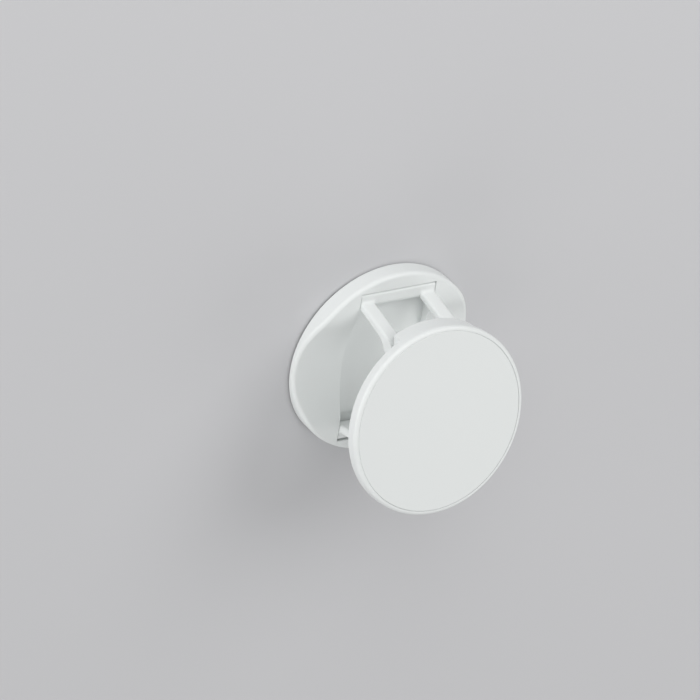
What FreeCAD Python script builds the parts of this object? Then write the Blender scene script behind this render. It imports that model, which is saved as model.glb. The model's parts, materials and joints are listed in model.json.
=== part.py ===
"""Round folding grip and stand: a stick-on base, two hinged links and a sliding front disc.

Frame: millimetres, +Z out of the base, +Y towards the upper link, origin at the middle of the
adhesive face. The links stand raised and the disc leans out at the bottom, as in use as a stand.
"""
import FreeCAD, Part
import math
import os
import re

import Sketcher

DOC = FreeCAD.newDocument("folding_grip")
X_AXIS = FreeCAD.Vector(1, 0, 0)
Z_AXIS = FreeCAD.Vector(0, 0, 1)

# Driving dimensions, in millimetres and degrees.
SIZES = {
    # base
    "base_radius": 22.0,
    "base_face": 4.5,
    "base_edge_round": 0.9,
    "pad_inset": 1.5,
    "pad_thick": 0.4,
    "scoop_radius": 29.0,
    "scoop_floor": 1.65,
    "scoop_blend": 10.0,
    "slot_width": 19.1,
    "slot_floor": 1.25,
    "slot_end_gap": 0.3,
    "relief_floor": 0.95,
    "relief_reach": 3.2,
    # links
    "pivot_inset": 5.4,
    "pivot_z": 2.8,
    "bar_half": 1.6,
    "bar_round": 0.7,
    "bar_inner": 1.9,
    "bar_foot": 1.5,
    "bar_inner_round": 1.2,
    "bar_side_gap": 0.2,
    "trunnion_radius": 0.8,
    "trunnion_length": 1.1,
    "socket_end_gap": 0.2,
    "running_gap": 0.05,
    "link_lean": 11.5,
    "link_length": 13.8,
    "arm_pitch": 15.4,
    "arm_width": 3.3,
    "arm_thick": 1.8,
    "arm_root": 0.9,
    "arm_round": 0.6,
    "cross_radius": 0.9,
    "cross_drop": 1.6,
    "eye_radius": 1.55,
    # disc
    "disc_tilt": 11.0,
    "disc_radius": 21.4,
    "disc_thick": 2.5,
    "disc_front_round": 0.85,
    "rim_width": 0.95,
    "cover_thick": 1.0,
    "cover_gap": 0.04,
    "cover_bevel": 0.12,
    "spine_width": 18.6,
    "spine_depth": 2.9,
    "spine_round": 0.6,
    # slide shoe and its track
    "shoe_inset": 5.41,
    "shoe_stand_off": 2.03,
    "shoe_side_gap": 0.2,
    "shoe_length": 4.6,
    "block_rise": 2.3,
    "block_fall": 1.9,
    "block_back": 1.9,
    "block_round": 0.5,
    "snap_mouth": 1.45,
    "slide_gap": 0.1,
    "track_mouth": 4.6,
    "track_head": 7.4,
    "track_lip": 1.0,
    "track_depth": 2.3,
    "track_low": 9.0,
    "track_end_gap": 0.3,
}

# Places and radii that follow from the driving dimensions.
DERIVED = {
    "pivot_y": "base_radius - pivot_inset",
    "pad_radius": "base_radius - pad_inset",
    "slot_half": "pivot_y + bar_half + slot_end_gap",
    "bar_width": "slot_width - 2 * bar_side_gap",
    "cover_radius": "disc_radius - rim_width",
    "shoe_up": "disc_radius - shoe_inset",
    "shoe_width": "arm_pitch - arm_width - 2 * shoe_side_gap",
    "spine_back": "disc_thick + spine_depth",
}

SHEET = DOC.addObject("Spreadsheet::Sheet", "sizes")
for row, (alias, size) in enumerate(SIZES.items(), start=1):
    SHEET.set(f"A{row}", alias)
    SHEET.set(f"B{row}", str(size))
    SHEET.setAlias(f"B{row}", alias)
DOC.recompute()


def bound(text):
    """Expression text with every size name turned into its spreadsheet cell."""
    def cell(match):
        word = match[0]
        if word in DERIVED:
            return bound(f"({DERIVED[word]})")
        return f"<<sizes>>.{word}" if word in SIZES else word
    return re.sub("[a-z_]+", cell, text)


def value(text):
    """Number that an expression text gives for the sizes as they stand."""
    return float(SHEET.evalExpression(bound(text)))


def new_body(label):
    """Empty body whose label names its file."""
    body = DOC.addObject("PartDesign::Body", label)
    body.Label = label
    return body


def new_sketch(body, role, name, offset="0"):
    """Sketch on one of the body's own origin planes, moved along the plane's normal."""
    sketch = body.newObject("Sketcher::SketchObject", name)
    plane = next(item for item in body.Origin.OriginFeatures if item.Role == role)
    sketch.AttachmentSupport = [(plane, "")]
    sketch.MapMode = "FlatFace"
    if offset != "0":
        sketch.setExpression("AttachmentOffset.Base.z", bound(offset))
    return sketch


def pin_point(sketch, geometry, point, x, y):
    """Holds a point of the sketch at expressions x and y from the origin."""
    for kind, text in (("DistanceX", x), ("DistanceY", y)):
        constraint = Sketcher.Constraint(kind, -1, 1, geometry, point, value(text))
        index = sketch.addConstraint(constraint)
        sketch.setExpression(f"Constraints[{index}]", bound(text))


def add_polygon(sketch, corners):
    """Closed outline through corners, each a pair of expressions."""
    points = [FreeCAD.Vector(value(x), value(y), 0) for x, y in corners]
    first = sketch.GeometryCount
    count = len(points)
    for index in range(count):
        sketch.addGeometry(Part.LineSegment(points[index], points[(index + 1) % count]), False)
    for index in range(count):
        follower = first + (index + 1) % count
        sketch.addConstraint(Sketcher.Constraint("Coincident", first + index, 2, follower, 1))
    for index, (x, y) in enumerate(corners):
        pin_point(sketch, first + index, 1, x, y)


def add_rectangle(sketch, low, high):
    """Rectangle between two opposite corners."""
    add_polygon(sketch, [low, (high[0], low[1]), high, (low[0], high[1])])


def add_circle(sketch, x, y, radius):
    """Circle with its centre and radius bound."""
    centre = FreeCAD.Vector(value(x), value(y), 0)
    index = sketch.addGeometry(Part.Circle(centre, Z_AXIS, value(radius)), False)
    pin_point(sketch, index, 3, x, y)
    constraint = sketch.addConstraint(Sketcher.Constraint("Radius", index, value(radius)))
    sketch.setExpression(f"Constraints[{constraint}]", bound(radius))


def extrude(body, kind, name, sketch, length, midplane=False, flip=False):
    """Pad or pocket of a sketch by a bound length."""
    feature = body.newObject(f"PartDesign::{kind}", name)
    feature.Profile = sketch
    feature.setExpression("Length", bound(length))
    feature.SideType = "Symmetric" if midplane else "One side"
    feature.Reversed = flip
    sketch.Visibility = False
    DOC.recompute()
    return feature


def revolve(body, name, corners):
    """Solid of revolution about Z of an outline in radius and height."""
    sketch = new_sketch(body, "XZ_Plane", f"{name}_profile")
    add_polygon(sketch, corners)
    feature = body.newObject("PartDesign::Revolution", name)
    feature.Profile = sketch
    feature.ReferenceAxis = (sketch, ["V_Axis"])
    feature.Angle = 360
    DOC.recompute()
    return feature


def soften(body, name, base, radius, wanted):
    """Fillet on every edge of the base feature for which wanted(edge) holds."""
    names = [f"Edge{index}" for index, edge in enumerate(base.Shape.Edges, start=1) if wanted(edge)]
    feature = body.newObject("PartDesign::Fillet", name)
    feature.Base = (base, names)
    feature.setExpression("Radius", bound(radius))
    DOC.recompute()
    return feature


def near(number, target, slack=1e-4):
    """Whether two lengths agree."""
    return abs(number - target) < slack


def level(edge, height):
    """Whether an edge lies flat at a height."""
    return near(edge.BoundBox.ZMin, height) and near(edge.BoundBox.ZMax, height)


def at_radius(edge, radius):
    """Whether an edge lies on the cylinder of a radius about Z."""
    ends = [edge.valueAt(t) for t in (edge.FirstParameter, edge.LastParameter)]
    return all(near(FreeCAD.Vector(p.x, p.y, 0).Length, radius, 1e-3) for p in ends)


def runs_along(edge, direction):
    """Whether an edge is straight and parallel to a unit direction."""
    run = edge.lastVertex().Point - edge.firstVertex().Point
    return near(run.Length, edge.Length) and near(abs(run.dot(direction)), edge.Length)


def along_link(reach, drop):
    """Expressions of a point on a link: reach along the arm, drop below the pivot line."""
    y = f"-1 * ({reach}) * sin(link_lean * 1 deg) - ({drop}) * cos(link_lean * 1 deg)"
    z = f"({reach}) * cos(link_lean * 1 deg) - ({drop}) * sin(link_lean * 1 deg)"
    return y, z


def make_base():
    """Scooped round base with the link slot and the trunnion sockets."""
    body = new_body("base_body")
    blank = revolve(body, "base_blank", [
        ("0", "pad_thick"),
        ("base_radius", "pad_thick"),
        ("base_radius", "base_face"),
        ("0", "base_face"),
    ])
    scoop = new_sketch(body, "YZ_Plane", "scoop_sketch")
    add_circle(scoop, "0", "scoop_floor + scoop_radius", "scoop_radius")
    scooped = extrude(body, "Pocket", "finger_scoop", scoop, "4 * base_radius", midplane=True)
    face = value("base_face")
    crease = soften(body, "scoop_blend_round", scooped, "scoop_blend",
                    lambda edge: level(edge, face) and near(edge.BoundBox.YLength, 0))
    radius = value("base_radius")
    above_foot = value("(pad_thick + scoop_floor) / 2")
    soften(body, "base_rim_round", crease, "base_edge_round",
           lambda edge: edge.BoundBox.ZMin > above_foot and at_radius(edge, radius))
    slot = new_sketch(body, "XY_Plane", "slot_sketch", "slot_floor")
    add_rectangle(slot, ("-1 * slot_width / 2", "-1 * slot_half"), ("slot_width / 2", "slot_half"))
    extrude(body, "Pocket", "link_slot", slot, "base_face", flip=True)
    reliefs = new_sketch(body, "XY_Plane", "relief_sketch", "relief_floor")
    for side in ("1", "-1"):
        add_rectangle(reliefs, ("-1 * slot_width / 2", f"{side} * (pivot_y - relief_reach)"),
                      ("slot_width / 2", f"{side} * slot_half"))
    extrude(body, "Pocket", "hinge_reliefs", reliefs, "base_face", flip=True)
    sockets = new_sketch(body, "YZ_Plane", "socket_sketch")
    for side in ("1", "-1"):
        add_circle(sockets, f"{side} * pivot_y", "pivot_z", "trunnion_radius + running_gap")
    extrude(body, "Pocket", "trunnion_sockets", sockets,
            "bar_width + 2 * trunnion_length + 2 * socket_end_gap", midplane=True)
    return body


def make_pad():
    """Round adhesive pad under the base."""
    pad = DOC.addObject("Part::Cylinder", "adhesive_pad")
    pad.Label = "adhesive_pad"
    pad.setExpression("Radius", bound("pad_radius"))
    pad.setExpression("Height", bound("pad_thick"))
    return pad


def add_bar_section(sketch):
    """Half section of a link's bar above its pivot, with both upper corners rounded."""
    inner, outer, top = "-1 * bar_inner", "bar_half", "bar_half"
    stops = [
        ("-1 * bar_foot", "0"),
        (outer, "0"),
        (outer, "bar_half - bar_round"),
        ("bar_half - bar_round", top),
        ("bar_inner_round - bar_inner", top),
        (inner, "bar_half - bar_inner_round"),
    ]
    points = [FreeCAD.Vector(value(x), value(y), 0) for x, y in stops]
    rounds = {2: ("bar_round", 0.0), 4: ("bar_inner_round", 90.0)}
    for index, point in enumerate(points):
        if index in rounds:
            radius, start = rounds[index]
            across = FreeCAD.Vector(value(radius), 0, 0)
            centre = point - FreeCAD.Rotation(Z_AXIS, start).multVec(across)
            circle = Part.Circle(centre, Z_AXIS, value(radius))
            sketch.addGeometry(Part.ArcOfCircle(circle, math.radians(start), math.radians(start + 90)), False)
        else:
            sketch.addGeometry(Part.LineSegment(point, points[(index + 1) % len(points)]), False)
    for index in range(len(points)):
        follower = (index + 1) % len(points)
        sketch.addConstraint(Sketcher.Constraint("Coincident", index, 2, follower, 1))
    for index, (x, y) in enumerate(stops):
        pin_point(sketch, index, 1, x, y)
    for index, (radius, start) in rounds.items():
        constraint = sketch.addConstraint(Sketcher.Constraint("Radius", index, value(radius)))
        sketch.setExpression(f"Constraints[{constraint}]", bound(radius))


def make_link(label, turn):
    """Hinged link, built about its pivot: bar with trunnions, two arms, eyes and outer cross bar."""
    body = new_body(label)
    sides = (("left", "-1 * arm_pitch / 2"), ("right", "arm_pitch / 2"))
    for name, middle in sides:
        arm = new_sketch(body, "YZ_Plane", f"{label}_{name}_arm_sketch", middle)
        add_polygon(arm, [
            along_link("0", "0"),
            along_link("link_length", "0"),
            along_link("link_length", "arm_thick"),
            along_link("arm_root", "arm_thick"),
        ])
        arms = extrude(body, "Pad", f"{label}_{name}_arm", arm, "arm_width", midplane=True)
    lean = FreeCAD.Vector(0, value("-1 * sin(link_lean * 1 deg)"), value("cos(link_lean * 1 deg)"))
    soften(body, f"{label}_arm_round", arms, "arm_round", lambda edge: runs_along(edge, lean))
    section = new_sketch(body, "YZ_Plane", f"{label}_bar_sketch")
    add_bar_section(section)
    extrude(body, "Pad", f"{label}_bar", section, "bar_width", midplane=True)
    barrel = new_sketch(body, "YZ_Plane", f"{label}_barrel_sketch")
    add_circle(barrel, "0", "0", "bar_half")
    extrude(body, "Pad", f"{label}_barrel", barrel, "bar_width", midplane=True)
    trunnions = new_sketch(body, "YZ_Plane", f"{label}_trunnion_sketch")
    add_circle(trunnions, "0", "0", "trunnion_radius")
    extrude(body, "Pad", f"{label}_trunnions", trunnions, "bar_width + 2 * trunnion_length", midplane=True)
    for name, middle in sides:
        eye = new_sketch(body, "YZ_Plane", f"{label}_{name}_eye_sketch", middle)
        add_circle(eye, *along_link("link_length", "cross_drop"), "eye_radius")
        extrude(body, "Pad", f"{label}_{name}_eye", eye, "arm_width", midplane=True)
    cross = new_sketch(body, "YZ_Plane", f"{label}_cross_sketch")
    add_circle(cross, *along_link("link_length", "cross_drop"), "cross_radius")
    extrude(body, "Pad", f"{label}_cross_bar", cross, "arm_pitch", midplane=True)
    side = 1 if turn == 0 else -1
    body.Placement = FreeCAD.Placement(FreeCAD.Vector(), FreeCAD.Rotation(Z_AXIS, turn))
    body.setExpression("Placement.Base.y", bound(f"{side} * pivot_y"))
    body.setExpression("Placement.Base.z", bound("pivot_z"))
    return body


def lay_on_disc(body):
    """Places a body modelled in the disc's frame, whose origin is the middle of the disc's face."""
    cross_y, cross_z = along_link("link_length", "cross_drop")
    depth = "spine_back + shoe_stand_off"
    lean_y = f"shoe_up * cos(disc_tilt * 1 deg) - ({depth}) * sin(disc_tilt * 1 deg)"
    lean_z = f"-1 * shoe_up * sin(disc_tilt * 1 deg) - ({depth}) * cos(disc_tilt * 1 deg)"
    body.Placement = FreeCAD.Placement(FreeCAD.Vector(), FreeCAD.Rotation(X_AXIS, -value("disc_tilt")))
    body.setExpression("Placement.Base.y", bound(f"pivot_y + {cross_y} - ({lean_y})"))
    body.setExpression("Placement.Base.z", bound(f"pivot_z + {cross_z} - ({lean_z})"))


def add_spine_outline(sketch):
    """Strip as wide as the spine, its two ends following the disc's rim."""
    radius = value("disc_radius")
    half = value("spine_width / 2")
    reach = (radius ** 2 - half ** 2) ** 0.5
    corner = [FreeCAD.Vector(sx * half, sy * reach, 0) for sx, sy in ((1, -1), (1, 1), (-1, 1), (-1, -1))]
    sketch.addGeometry(Part.LineSegment(corner[0], corner[1]), False)
    sketch.addGeometry(Part.Arc(corner[1], FreeCAD.Vector(0, radius, 0), corner[2]), False)
    sketch.addGeometry(Part.LineSegment(corner[2], corner[3]), False)
    sketch.addGeometry(Part.Arc(corner[3], FreeCAD.Vector(0, -radius, 0), corner[0]), False)
    for line in (0, 2):
        sketch.addConstraint(Sketcher.Constraint("Vertical", line))
    for first, end, second, start in ((0, 2, 1, 1), (1, 2, 2, 1), (2, 2, 3, 1), (3, 2, 0, 1)):
        sketch.addConstraint(Sketcher.Constraint("Coincident", first, end, second, start))
    for arc in (1, 3):
        sketch.addConstraint(Sketcher.Constraint("Coincident", arc, 3, -1, 1))
        index = sketch.addConstraint(Sketcher.Constraint("Radius", arc, radius))
        sketch.setExpression(f"Constraints[{index}]", bound("disc_radius"))
    for line, sign in ((0, "1"), (2, "-1")):
        text = f"{sign} * spine_width / 2"
        index = sketch.addConstraint(Sketcher.Constraint("DistanceX", -1, 1, line, 1, value(text)))
        sketch.setExpression(f"Constraints[{index}]", bound(text))


def make_disc():
    """Front disc: rim, recess for the cover, and the spine on its back with the shoe's track."""
    body = new_body("disc_body")
    plate = revolve(body, "disc_plate", [
        ("0", "-1 * disc_thick"),
        ("disc_radius", "-1 * disc_thick"),
        ("disc_radius", "0"),
        ("cover_radius", "0"),
        ("cover_radius", "-1 * cover_thick"),
        ("0", "-1 * cover_thick"),
    ])
    radius = value("disc_radius")
    soften(body, "disc_front_edge", plate, "disc_front_round",
           lambda edge: level(edge, 0) and at_radius(edge, radius))
    outline = new_sketch(body, "XY_Plane", "spine_sketch", "-1 * disc_thick")
    add_spine_outline(outline)
    spine = extrude(body, "Pad", "spine", outline, "spine_depth", flip=True)
    back = -value("spine_back")
    soften(body, "spine_edges", spine, "spine_round",
           lambda edge: level(edge, back) and near(edge.BoundBox.XLength, 0))
    low = "-1 * track_low"
    high = "shoe_up + shoe_length / 2 + track_end_gap"
    track = new_sketch(body, "XY_Plane", "track_sketch", "-1 * (spine_back - track_lip)")
    add_rectangle(track, ("-1 * track_head / 2", low), ("track_head / 2", high))
    extrude(body, "Pocket", "track_channel", track, "track_depth - track_lip", flip=True)
    keyhole = new_sketch(body, "XY_Plane", "keyhole_sketch", "-1 * spine_back")
    entry_high = f"{low} + shoe_length + 2 * track_end_gap"
    add_polygon(keyhole, [
        ("-1 * track_head / 2", low),
        ("track_head / 2", low),
        ("track_head / 2", entry_high),
        ("track_mouth / 2", entry_high),
        ("track_mouth / 2", high),
        ("-1 * track_mouth / 2", high),
        ("-1 * track_mouth / 2", entry_high),
        ("-1 * track_head / 2", entry_high),
    ])
    extrude(body, "Pocket", "track_keyhole", keyhole, "(track_lip + track_depth) / 2", flip=True)
    lay_on_disc(body)
    return body


def make_cover():
    """Thin round cover let into the disc's face."""
    body = new_body("face_cover")
    revolve(body, "cover_plate", [
        ("0", "-1 * cover_thick"),
        ("cover_radius - cover_gap", "-1 * cover_thick"),
        ("cover_radius - cover_gap", "-1 * cover_bevel"),
        ("cover_radius - cover_gap - cover_bevel", "0"),
        ("0", "0"),
    ])
    lay_on_disc(body)
    return body


def make_shoe():
    """Slide shoe: T head in the track and a block behind the spine that snaps on the cross bar."""
    body = new_body("slide_shoe")
    low = "shoe_up - shoe_length / 2"
    high = "shoe_up + shoe_length / 2"
    axis_depth = "-1 * (spine_back + shoe_stand_off)"
    block_deep = f"{axis_depth} - block_back"
    section = new_sketch(body, "YZ_Plane", "block_sketch")
    add_rectangle(section, ("shoe_up - block_fall", block_deep),
                  ("shoe_up + block_rise", "-1 * (spine_back + slide_gap)"))
    block = extrude(body, "Pad", "block", section, "shoe_width", midplane=True)
    back = value(block_deep)
    soften(body, "block_edges", block, "block_round",
           lambda edge: level(edge, back) and near(edge.BoundBox.YLength, 0))
    neck = new_sketch(body, "XY_Plane", "neck_sketch", "-1 * (spine_back + slide_gap)")
    add_rectangle(neck, ("-1 * track_mouth / 2 + slide_gap", "shoe_up - block_fall"),
                  ("track_mouth / 2 - slide_gap", "shoe_up + block_fall"))
    extrude(body, "Pad", "neck", neck, "track_lip + 2 * slide_gap")
    head = new_sketch(body, "XY_Plane", "head_sketch", "-1 * (spine_back - track_lip - slide_gap)")
    add_rectangle(head, ("-1 * track_head / 2 + slide_gap", low), ("track_head / 2 - slide_gap", high))
    extrude(body, "Pad", "head", head, "track_depth - track_lip - 2 * slide_gap")
    bore = new_sketch(body, "YZ_Plane", "bore_sketch")
    add_circle(bore, "shoe_up", axis_depth, "cross_radius + running_gap")
    extrude(body, "Pocket", "bore", bore, "2 * shoe_width", midplane=True)
    snap = new_sketch(body, "YZ_Plane", "snap_sketch")
    add_rectangle(snap, ("shoe_up - snap_mouth / 2", f"{axis_depth} - 2 * block_back"),
                  ("shoe_up + snap_mouth / 2", axis_depth))
    extrude(body, "Pocket", "snap_mouth", snap, "2 * shoe_width", midplane=True)
    lay_on_disc(body)
    return body


PIECES = [
    make_base(),
    make_pad(),
    make_link("upper_link", 0),
    make_link("lower_link", 180),
    make_shoe(),
    make_disc(),
    make_cover(),
]
DOC.recompute()

for item in DOC.Objects:
    if "Invalid" in item.State or "Error" in item.State:
        raise RuntimeError(f"{item.Label} failed: {item.State}")
os.makedirs("parts", exist_ok=True)
for piece in PIECES:
    shape = piece.Shape
    if shape.isNull() or not shape.isValid():
        raise RuntimeError(f"{piece.Label} has no valid shape")
    print(piece.Label, len(shape.Solids), round(shape.Volume, 1), shape.BoundBox)
    shape.exportStep(f"parts/{piece.Label}.step")
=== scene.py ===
"""Dresses the folding grip and stand in satin white plastic and sets it on a pale studio floor.

The frame is in metres: +Z out of the base, +Y towards the upper link, origin under the base.
"""
import json
import math

import bpy
import numpy as np
from mathutils import Matrix, Vector


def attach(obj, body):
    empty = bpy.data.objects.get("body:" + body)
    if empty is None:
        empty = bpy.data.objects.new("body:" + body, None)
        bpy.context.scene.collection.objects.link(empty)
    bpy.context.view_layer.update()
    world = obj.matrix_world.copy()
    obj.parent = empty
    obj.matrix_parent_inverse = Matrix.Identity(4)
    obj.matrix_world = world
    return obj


bl_info = {
    "name": "Folding grip dresser",
    "version": (1, 0, 0),
    "blender": (4, 5, 0),
    "location": "View3D > Sidebar > Grip",
    "description": "Moulded finishes, arm blends, foam pad and studio for a round folding grip and stand",
    "category": "Object",
}

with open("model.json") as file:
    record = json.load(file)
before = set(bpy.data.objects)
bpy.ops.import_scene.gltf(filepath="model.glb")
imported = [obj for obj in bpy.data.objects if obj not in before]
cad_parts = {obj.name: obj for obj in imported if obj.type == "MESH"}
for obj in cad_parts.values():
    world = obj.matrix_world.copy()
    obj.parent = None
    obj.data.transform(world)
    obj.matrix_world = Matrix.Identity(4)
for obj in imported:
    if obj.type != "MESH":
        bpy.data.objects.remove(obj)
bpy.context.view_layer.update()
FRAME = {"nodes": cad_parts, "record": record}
MM = 0.001
NODES = FRAME["nodes"]
JOINTS = {joint["name"]: joint for joint in FRAME["record"]["behaviour"]["joints"]}
UPWARD = Vector((0.0, 0.0, 1.0))

# Nodes moulded in the shell's plastic, and the name of that material.
SHELL_NODES = ("base_body", "upper_link", "lower_link", "slide_shoe", "disc_body")
SHELL_MATERIAL = "satin_abs_shell"

# The links: body, joint at its pivot, and the side of the base that it stands on.
LINKS = (("upper_link", "upper_fold", 1.0), ("lower_link", "lower_fold", -1.0))
# The arms of a link, by the side of the middle plane that they stand on.
ARM_SIDES = (("left", -1.0), ("right", 1.0))
# Corners of an arm's section, anticlockwise from +X and +Y: signs along X and Y, arc's start in degrees.
SECTION_CORNERS = ((1.0, 1.0, 0.0), (-1.0, 1.0, 90.0), (-1.0, -1.0, 180.0), (1.0, -1.0, 270.0))
# Points along a blend and along a section's corner, and the angle past which an edge stays sharp.
ARC_POINTS = 12
CORNER_POINTS = 7
SHARP_ANGLE = math.radians(40.0)

# Moulded plastic: index of refraction, strength of the grit's bump, and the noise that draws the grit.
ABS_IOR = 1.53
GRIT_STRENGTH = 0.35
GRIT_ROUGHNESS = 0.6
NOISE_DETAIL = 2.0
# Flow mottle: its width in mm, how far it shifts roughness, and the noise values at the two ends of that.
FLOW_MM = 7.0
FLOW_SWING = 0.04
FLOW_LOW = 0.3
FLOW_HIGH = 0.7

# Foam tape: width and depth of its cells in mm, strength of their bump, and roughness of the cut edge.
CELL_MM = 0.3
CELL_DEPTH_MM = 0.08
CELL_STRENGTH = 0.6
FOAM_ROUGHNESS = 0.85

# Studio: floor and view limits in metres, the sensor and the lamps' distance in mm.
FLOOR_HALF = 3.0
FLOOR_ROUGHNESS = 0.9
CLIP_END = 20.0
SENSOR_MM = 36.0
LAMP_DISTANCE_MM = 700.0
# Lamps: name, direction from the object in the frame's axes, width and height in mm, power in watts.
LAMPS = (
    ("key_lamp", (0.45, 0.60, 0.66), 520.0, 520.0, 1.6),
    ("top_lamp", (-0.30, 0.75, 0.55), 520.0, 520.0, 1.16),
    ("left_strip", (-0.95, 0.20, 0.12), 520.0, 160.0, 1.8),
    ("right_lamp", (0.70, -0.50, 0.50), 520.0, 520.0, 0.73),
    ("low_lamp", (-0.30, -0.80, 0.50), 520.0, 520.0, 0.64),
)


def linear(hex_colour):
    """Linear RGBA of an sRGB hex colour such as 'E6E6E7', by the curve of the sRGB standard."""
    channels = np.array([int(hex_colour[i:i + 2], 16) for i in (0, 2, 4)]) / 255.0
    low = channels / 12.92
    high = ((channels + 0.055) / 1.055) ** 2.4
    return (*np.where(channels <= 0.04045, low, high).tolist(), 1.0)


def add_node(tree, kind, inputs=None):
    """Adds a node, and fills its inputs by name or links them to another node's output."""
    node = tree.nodes.new(kind)
    for name, source in (inputs or {}).items():
        socket = node.inputs[name]
        if isinstance(source, bpy.types.NodeSocket):
            tree.links.new(source, socket)
        else:
            socket.default_value = source
    return node


def new_material(name):
    """Empty node material, with its tree."""
    material = bpy.data.materials.new(name)
    material.use_nodes = True
    material.node_tree.nodes.clear()
    return material, material.node_tree


def moulded_abs(name, hex_colour, roughness, grit, grit_depth):
    """Injection-moulded ABS with a spark-eroded texture: soft broad highlights and a faint sparkle of grit.

    The real grit is about 0.03 mm, too fine to show, so it is drawn as coarse as grit says. A slow mottle of
    a few millimetres shifts roughness a little, as flow does in a moulding.
    """
    material, tree = new_material(name)
    place = add_node(tree, "ShaderNodeTexCoord").outputs["Object"]
    grain = add_node(tree, "ShaderNodeTexNoise", {
        "Vector": place, "Scale": 1.0 / grit, "Detail": NOISE_DETAIL, "Roughness": GRIT_ROUGHNESS})
    flow = add_node(tree, "ShaderNodeTexNoise", {
        "Vector": place, "Scale": 1.0 / (FLOW_MM * MM), "Detail": NOISE_DETAIL})
    gloss = add_node(tree, "ShaderNodeMapRange", {
        "Value": flow.outputs["Fac"], "From Min": FLOW_LOW, "From Max": FLOW_HIGH,
        "To Min": roughness - FLOW_SWING, "To Max": roughness + FLOW_SWING})
    bump = add_node(tree, "ShaderNodeBump", {
        "Height": grain.outputs["Fac"], "Strength": GRIT_STRENGTH, "Distance": grit_depth})
    shader = add_node(tree, "ShaderNodeBsdfPrincipled", {
        "Base Color": linear(hex_colour), "Roughness": gloss.outputs["Result"],
        "IOR": ABS_IOR, "Normal": bump.outputs["Normal"]})
    add_node(tree, "ShaderNodeOutputMaterial", {"Surface": shader.outputs["BSDF"]})
    return material


def foam_tape(hex_colour):
    """Closed-cell acrylic foam tape: dark, matt, with small open cells on its cut edge."""
    material, tree = new_material("foam_tape")
    place = add_node(tree, "ShaderNodeTexCoord").outputs["Object"]
    cells = add_node(tree, "ShaderNodeTexVoronoi", {"Vector": place, "Scale": 1.0 / (CELL_MM * MM)})
    bump = add_node(tree, "ShaderNodeBump", {
        "Height": cells.outputs["Distance"], "Strength": CELL_STRENGTH, "Distance": CELL_DEPTH_MM * MM})
    shader = add_node(tree, "ShaderNodeBsdfPrincipled", {
        "Base Color": linear(hex_colour), "Roughness": FOAM_ROUGHNESS, "Normal": bump.outputs["Normal"]})
    add_node(tree, "ShaderNodeOutputMaterial", {"Surface": shader.outputs["BSDF"]})
    return material


def paint(node_name, material):
    """Gives a frame node one material in place of its own."""
    mesh = NODES[node_name].data
    mesh.materials.clear()
    mesh.materials.append(material)


def arm_profile(arms, eye):
    """Heights over the pivot, with the arm's flare on the bar, its front and its back at each.

    The front is the slanted line through the pivot, the back the same line one thickness behind. At the
    root a quarter circle flares from the arm to the bar's top. At the end the back follows the circle that
    touches the arm's back line and, from outside, the knuckle's circle round the point eye (Y and Z).
    """
    sine = math.sin(arms.lean)
    cosine = math.cos(arms.lean)
    eye_reach = eye[1] * cosine - eye[0] * sine
    eye_drop = -eye[0] * cosine - eye[1] * sine
    spread = arms.end_round + arms.eye_radius
    blend_run = math.sqrt(spread ** 2 - (arms.thick + arms.end_round - eye_drop) ** 2)
    turn = np.linspace(0.0, math.asin(blend_run / spread), ARC_POINTS)
    reach = eye_reach - blend_run + arms.end_round * np.sin(turn)
    drop = arms.thick + arms.end_round * (1.0 - np.cos(turn))
    blend_height = reach * cosine - drop * sine
    blend_back = -reach * sine - drop * cosine
    rise = np.linspace(0.0, math.pi / 2.0, ARC_POINTS)
    root_height = arms.bar_top + arms.root_round * (1.0 - np.cos(rise))
    root_flare = arms.root_round * (1.0 - np.sin(rise))
    sunk_root = [arms.bar_top - arms.sink]
    sunk_end = [eye[1] - arms.sink]
    height = np.concatenate((sunk_root, root_height, blend_height, sunk_end))
    flare = np.concatenate(([arms.root_round], root_flare, np.zeros(ARC_POINTS + 1)))
    front = -height * sine / cosine
    back = front - arms.thick / cosine
    back[-ARC_POINTS - 1:] = np.append(blend_back, blend_back[-1])
    return height, flare, front + flare, back


def arm_sleeve(arms, eye, side):
    """Rings of one arm's closed skin: level rounded rectangles, one at each height of the arm's profile.

    A point is its corner's centre plus a quarter circle. The two front corners move out by the flare, and
    the inner one of them also moves towards the link's middle, so that the arm widens into its bar.
    """
    height, flare, front, back = arm_profile(arms, eye)
    radius = arms.edge_round
    level = np.repeat(height[:, None], CORNER_POINTS, 1)
    corners = []
    for sign_x, sign_y, start in SECTION_CORNERS:
        angle = np.radians(start + np.linspace(0.0, 90.0, CORNER_POINTS))
        inner_front = sign_y > 0.0 and sign_x != side
        half_width = arms.width / 2.0 + arms.skin + flare * inner_front
        x = side * arms.pitch / 2.0 + sign_x * (half_width - radius)
        y = (front if sign_y > 0.0 else back) + sign_y * (arms.skin - radius)
        corner_x = x[:, None] + radius * np.cos(angle)
        corner_y = y[:, None] + radius * np.sin(angle)
        corners.append(np.stack((corner_x, corner_y, level), 2))
    return np.concatenate(corners, 1)


def skin_mesh(name, rings):
    """Closed piece of rings of points stacked upwards, each running anticlockwise seen from above."""
    count, around = rings.shape[:2]
    index = np.arange(count * around).reshape(count, around)
    beside = np.roll(index, -1, 1)
    walls = np.stack((index[:-1], beside[:-1], beside[1:], index[1:]), 2).reshape(-1, 4)
    faces = walls.tolist() + [index[0, ::-1].tolist(), index[-1].tolist()]
    mesh = bpy.data.meshes.new(name)
    mesh.from_pydata(rings.reshape(-1, 3).tolist(), [], faces)
    mesh.shade_smooth()
    mesh.set_sharp_from_angle(angle=SHARP_ANGLE)
    piece = bpy.data.objects.new(name, mesh)
    bpy.context.scene.collection.objects.link(piece)
    return piece


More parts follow.
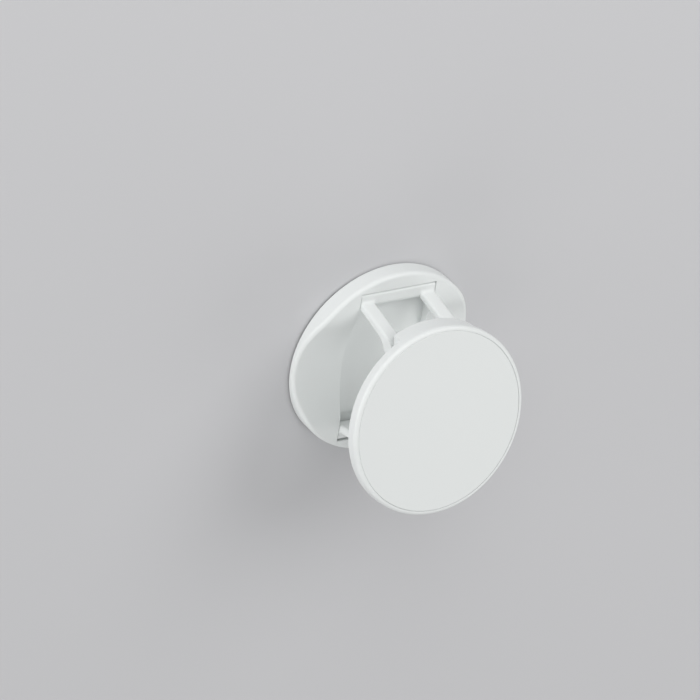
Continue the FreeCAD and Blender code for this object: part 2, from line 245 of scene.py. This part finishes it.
def view_axes(stage):
    """Right, up and back unit vectors of the camera, from azimuth, elevation and roll."""
    across = Vector((math.sin(stage.azimuth), -math.cos(stage.azimuth), 0.0))
    back = across * math.cos(stage.elevation) + UPWARD * math.sin(stage.elevation)
    level_right = UPWARD.cross(back).normalized()
    right = Matrix.Rotation(stage.roll, 3, back) @ level_right
    return right, back.cross(right), back


def add_camera(stage):
    """Camera on the view line, at its distance from the point that it is aimed at."""
    right, up, back = view_axes(stage)
    data = bpy.data.cameras.new("camera")
    data.lens = stage.lens
    data.sensor_width = SENSOR_MM
    data.sensor_fit = "HORIZONTAL"
    data.clip_end = CLIP_END
    camera = bpy.data.objects.new("camera", data)
    matrix = Matrix((right, up, back)).transposed().to_4x4()
    matrix.translation = Vector(stage.aim) + back * stage.distance
    camera.matrix_world = matrix
    bpy.context.scene.collection.objects.link(camera)
    bpy.context.scene.camera = camera


def add_lamps():
    """Broad soft lamps on their directions, each aimed at the object."""
    for name, direction, width, height, power in LAMPS:
        place = Vector(direction).normalized() * LAMP_DISTANCE_MM * MM
        data = bpy.data.lights.new(name, "AREA")
        data.shape = "ELLIPSE"
        data.size = width * MM
        data.size_y = height * MM
        data.energy = power
        lamp = bpy.data.objects.new(name, data)
        lamp.location = place
        lamp.rotation_euler = (-place).to_track_quat("-Z", "Y").to_euler()
        bpy.context.scene.collection.objects.link(lamp)


def add_world(strength):
    """Even white surround that fills the shadows."""
    world = bpy.data.worlds.new("surround")
    bpy.context.scene.world = world
    world.use_nodes = True
    background = world.node_tree.nodes["Background"]
    background.inputs["Color"].default_value = linear("FFFFFF")
    background.inputs["Strength"].default_value = strength


def add_floor(hex_colour):
    """Wide plain floor under the base."""
    half = FLOOR_HALF
    corners = [(-half, -half, 0.0), (half, -half, 0.0), (half, half, 0.0), (-half, half, 0.0)]
    mesh = bpy.data.meshes.new("floor")
    mesh.from_pydata(corners, [], [(0, 1, 2, 3)])
    floor = bpy.data.objects.new("floor", mesh)
    bpy.context.scene.collection.objects.link(floor)
    material, tree = new_material("pale_floor")
    shader = add_node(tree, "ShaderNodeBsdfPrincipled", {
        "Base Color": linear(hex_colour), "Roughness": FLOOR_ROUGHNESS})
    add_node(tree, "ShaderNodeOutputMaterial", {"Surface": shader.outputs["BSDF"]})
    mesh.materials.append(material)


def hex_setting(name, description, default):
    """Property that holds an sRGB hex colour."""
    return bpy.props.StringProperty(name=name, description=f"sRGB hex of {description}", default=default)


def share_setting(name, description, default):
    """Property between nought and one."""
    return bpy.props.FloatProperty(
        name=name, description=description, default=default, min=0.0, max=1.0, subtype="FACTOR")


def length_setting(name, description, millimetres):
    """Length property, given in millimetres and kept in metres."""
    return bpy.props.FloatProperty(
        name=name, description=description, default=millimetres * MM, unit="LENGTH")


def angle_setting(name, description, degrees):
    """Angle property, given in degrees and kept in radians."""
    return bpy.props.FloatProperty(
        name=name, description=description, default=math.radians(degrees), subtype="ANGLE")


class GripFinish(bpy.types.PropertyGroup):
    """Colours, gloss and grit of the pieces."""
    shell_colour: hex_setting("Shell colour", "the base, the links and the disc's rim", "E9ECEB")
    cover_colour: hex_setting("Cover colour", "the disc's face cover", "E7EAE9")
    foam_colour: hex_setting("Foam colour", "the adhesive foam", "3A3A3C")
    shell_roughness: share_setting("Shell roughness", "Roughness of the moulded shell", 0.42)
    cover_roughness: share_setting("Cover roughness", "Roughness of the face cover", 0.5)
    shell_grit: length_setting("Shell grit", "Grit size drawn on the shell", 0.22)
    cover_grit: length_setting("Cover grit", "Grit size drawn on the cover", 0.18)
    shell_grit_depth: length_setting("Shell grit depth", "Depth of the shell's grit", 0.01)
    cover_grit_depth: length_setting("Cover grit depth", "Depth of the cover's grit", 0.008)


class GripArms(bpy.types.PropertyGroup):
    """Sizes of the links' arms and of the blends at their two ends."""
    lean: angle_setting("Lean", "Angle of an arm from upright", 11.5)
    pitch: length_setting("Pitch", "Distance between the middles of two arms", 15.4)
    width: length_setting("Width", "Width of an arm", 3.3)
    thick: length_setting("Thickness", "Thickness of an arm", 1.8)
    edge_round: length_setting("Edge round", "Radius along an arm's edges", 0.6)
    bar_top: length_setting("Bar top", "Height of the bar's top over its pivot", 1.6)
    eye_radius: length_setting("Eye radius", "Radius of the knuckle at an arm's end", 1.55)
    root_round: length_setting("Root round", "Radius of the blend from bar to arm", 0.65)
    end_round: length_setting("End round", "Radius of the blend from arm to knuckle", 8.0)
    sink: length_setting("Sink", "Depth of a sleeve's ends inside bar and knuckle", 0.3)
    skin: length_setting("Skin", "Stand-off of a sleeve from its arm", 0.03)


class GripStage(bpy.types.PropertyGroup):
    """Camera, surround and floor."""
    azimuth: angle_setting("Azimuth", "Side that the camera looks from", 225.667)
    elevation: angle_setting("Elevation", "Height of the camera above the floor", 43.597)
    roll: angle_setting("Roll", "Turn of the camera about its view line", 133.81)
    lens: bpy.props.FloatProperty(
        name="Lens", description="Focal length in millimetres", default=340.02, unit="CAMERA")
    aim: bpy.props.FloatVectorProperty(
        name="Aim", description="Point at the middle of the picture",
        default=(-6.871 * MM, 1.621 * MM, 0.0), subtype="TRANSLATION", unit="LENGTH")
    distance: length_setting("Distance", "Camera's distance from the aim", 1417.14)
    surround: share_setting("Surround", "Strength of the even surround", 0.403)
    floor_colour: hex_setting("Floor colour", "the floor", "CECED0")


class GRIP_OT_mouldings(bpy.types.Operator):
    """Gives the moulded pieces their satin plastic."""
    bl_idname = "grip.mouldings"
    bl_label = "Moulded pieces"

    def execute(self, context):
        finish = context.scene.grip_finish
        shell = moulded_abs(SHELL_MATERIAL, finish.shell_colour, finish.shell_roughness,
                            finish.shell_grit, finish.shell_grit_depth)
        cover = moulded_abs("matt_abs_cover", finish.cover_colour, finish.cover_roughness,
                            finish.cover_grit, finish.cover_grit_depth)
        for node_name in SHELL_NODES:
            paint(node_name, shell)
        paint("face_cover", cover)
        return {"FINISHED"}


class GRIP_OT_arms(bpy.types.Operator):
    """Blends each arm of the two links into its bar and its knuckle."""
    bl_idname = "grip.arms"
    bl_label = "Arm blends"

    def execute(self, context):
        arms = context.scene.grip_arms
        eye = np.subtract(JOINTS["shoe_tilt"]["pos_m"], JOINTS["upper_fold"]["pos_m"])[1:]
        for body, joint, facing in LINKS:
            for side_name, side in ARM_SIDES:
                rings = arm_sleeve(arms, eye, side)
                rings = rings * (facing, facing, 1.0) + JOINTS[joint]["pos_m"]
                piece = skin_mesh(f"{body}_{side_name}_arm", rings)
                piece.data.materials.append(bpy.data.materials[SHELL_MATERIAL])
                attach(piece, body)
        return {"FINISHED"}


class GRIP_OT_pad(bpy.types.Operator):
    """Gives the adhesive pad its foam."""
    bl_idname = "grip.pad"
    bl_label = "Adhesive pad"

    def execute(self, context):
        paint("adhesive_pad", foam_tape(context.scene.grip_finish.foam_colour))
        return {"FINISHED"}


class GRIP_OT_stage(bpy.types.Operator):
    """Sets the floor, the soft lamps and the camera."""
    bl_idname = "grip.stage"
    bl_label = "Studio"

    def execute(self, context):
        stage = context.scene.grip_stage
        add_floor(stage.floor_colour)
        add_lamps()
        add_camera(stage)
        add_world(stage.surround)
        context.scene.view_settings.view_transform = "Standard"
        return {"FINISHED"}


class GRIP_PT_panel(bpy.types.Panel):
    """Lists the sizes, the finishes and the steps."""
    bl_label = "Folding grip"
    bl_idname = "GRIP_PT_panel"
    bl_space_type = "VIEW_3D"
    bl_region_type = "UI"
    bl_category = "Grip"

    def draw(self, context):
        scene = context.scene
        for group in (scene.grip_finish, scene.grip_arms, scene.grip_stage):
            for name in group.__annotations__:
                self.layout.prop(group, name)
        for step in STEPS:
            self.layout.operator(step.bl_idname)


STEPS = (GRIP_OT_mouldings, GRIP_OT_arms, GRIP_OT_pad, GRIP_OT_stage)
CLASSES = (GripFinish, GripArms, GripStage, *STEPS, GRIP_PT_panel)


def register():
    """Registers the classes and hangs the property groups on the scene."""
    for item in CLASSES:
        bpy.utils.register_class(item)
    bpy.types.Scene.grip_finish = bpy.props.PointerProperty(type=GripFinish)
    bpy.types.Scene.grip_arms = bpy.props.PointerProperty(type=GripArms)
    bpy.types.Scene.grip_stage = bpy.props.PointerProperty(type=GripStage)


def unregister():
    """Undoes register, in the opposite order."""
    del bpy.types.Scene.grip_stage
    del bpy.types.Scene.grip_arms
    del bpy.types.Scene.grip_finish
    for item in reversed(CLASSES):
        bpy.utils.unregister_class(item)


def main():
    """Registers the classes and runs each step."""
    register()
    bpy.ops.grip.mouldings()
    bpy.ops.grip.arms()
    bpy.ops.grip.pad()
    bpy.ops.grip.stage()


if __name__ == "__main__":
    main()
